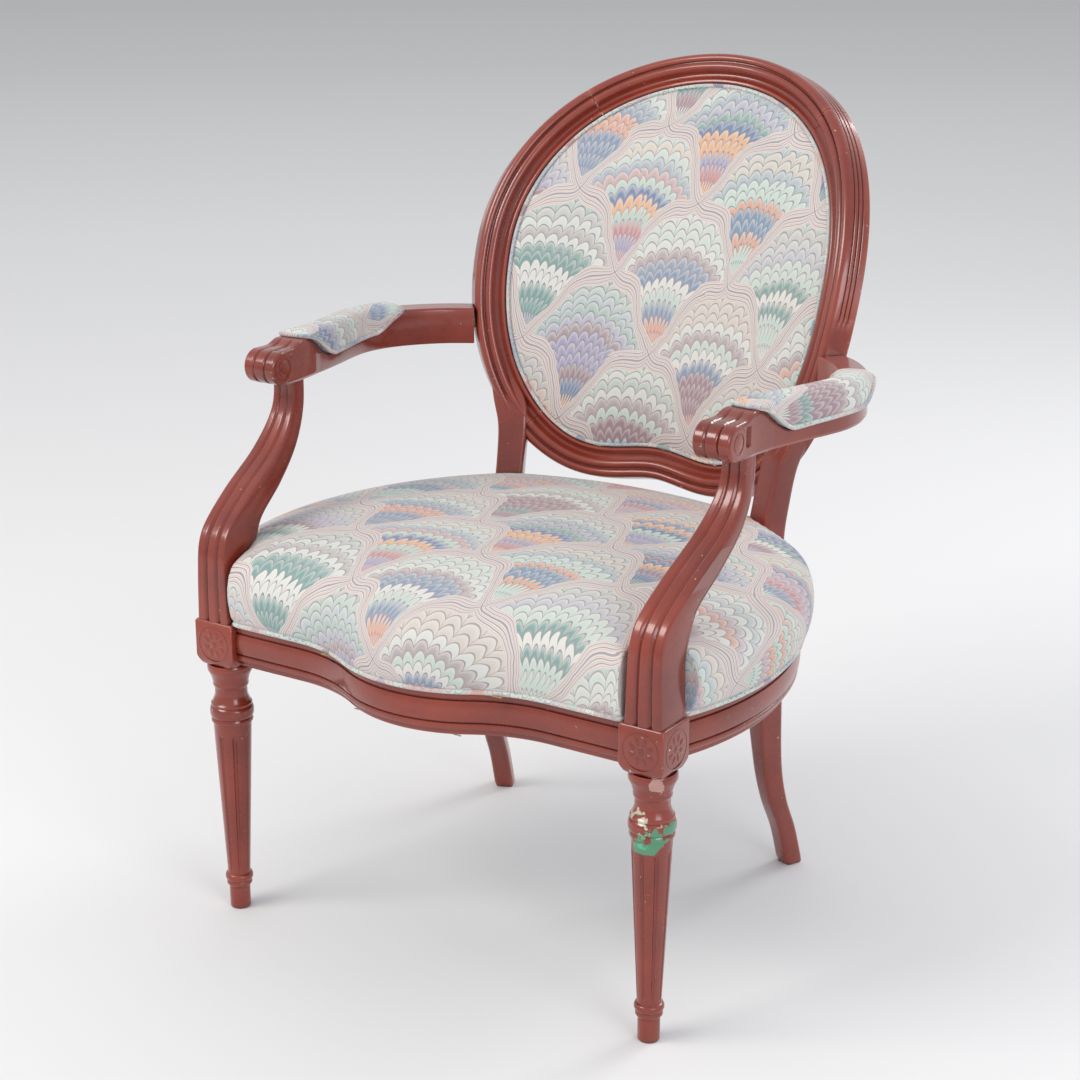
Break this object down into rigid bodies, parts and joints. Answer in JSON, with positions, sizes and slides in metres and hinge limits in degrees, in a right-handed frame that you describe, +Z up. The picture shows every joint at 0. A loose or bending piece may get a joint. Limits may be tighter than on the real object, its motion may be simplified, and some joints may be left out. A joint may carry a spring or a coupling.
{
  "type": "upholstered armchair",
  "caption": "Oval-backed upholstered armchair with a painted carved frame, turned fluted front legs and scrolled arms with padded rests",
  "frame": {"origin": "centre of the chair's outline on the floor", "axes": "+X to the sitter's left, +Y to the back, +Z up; the sitter looks along -Y"},
  "size_m": [0.7114, 0.7523, 0.9648],
  "materials": {
    "painted_wood": "oxblood oil paint on beech, polished by wear",
    "bare_beech": "planed",
    "steel": "bright zinc",
    "print_cloth": "glazed cotton with a marbled print",
    "piping": "cotton over cord",
    "stuffing": "fibre and felt",
    "jute": "woven jute",
    "black_cloth": "thin non-woven cloth"
  },
  "bodies": {
    "root": {"front_leg_left": "painted_wood", "front_leg_right": "painted_wood", "back_upright_left": "painted_wood", "back_upright_right": "painted_wood", "arm_support_left": "painted_wood", "arm_support_right": "painted_wood", "arm_left": "painted_wood", "arm_right": "painted_wood", "seat_rail_front": "painted_wood", "seat_rail_left": "painted_wood", "seat_rail_right": "painted_wood", "seat_rail_rear": "painted_wood", "back_crest_rail": "painted_wood", "back_bottom_rail": "painted_wood", "corner_block_front_left": "bare_beech", "corner_block_front_right": "bare_beech", "corner_block_rear_left": "bare_beech", "corner_block_rear_right": "bare_beech", "back_frame_dowels": "bare_beech", "arm_dowels": "bare_beech", "corner_block_screws": "steel", "dust_cover_staples": "steel", "seat_cover": "print_cloth", "back_cover_front": "print_cloth", "back_cover_rear": "print_cloth", "arm_pad_cover_left": "print_cloth", "arm_pad_cover_right": "print_cloth", "seat_welt": "piping", "back_welt_front": "piping", "back_welt_rear": "piping", "arm_pad_welt_left": "piping", "arm_pad_welt_right": "piping", "seat_pad": "stuffing", "back_pad": "stuffing", "arm_pad_left": "stuffing", "arm_pad_right": "stuffing", "seat_webbing": "jute", "seat_burlap": "jute", "back_webbing": "jute", "back_burlap": "jute", "seat_dust_cover": "black_cloth"}
  },
  "joints": []
}
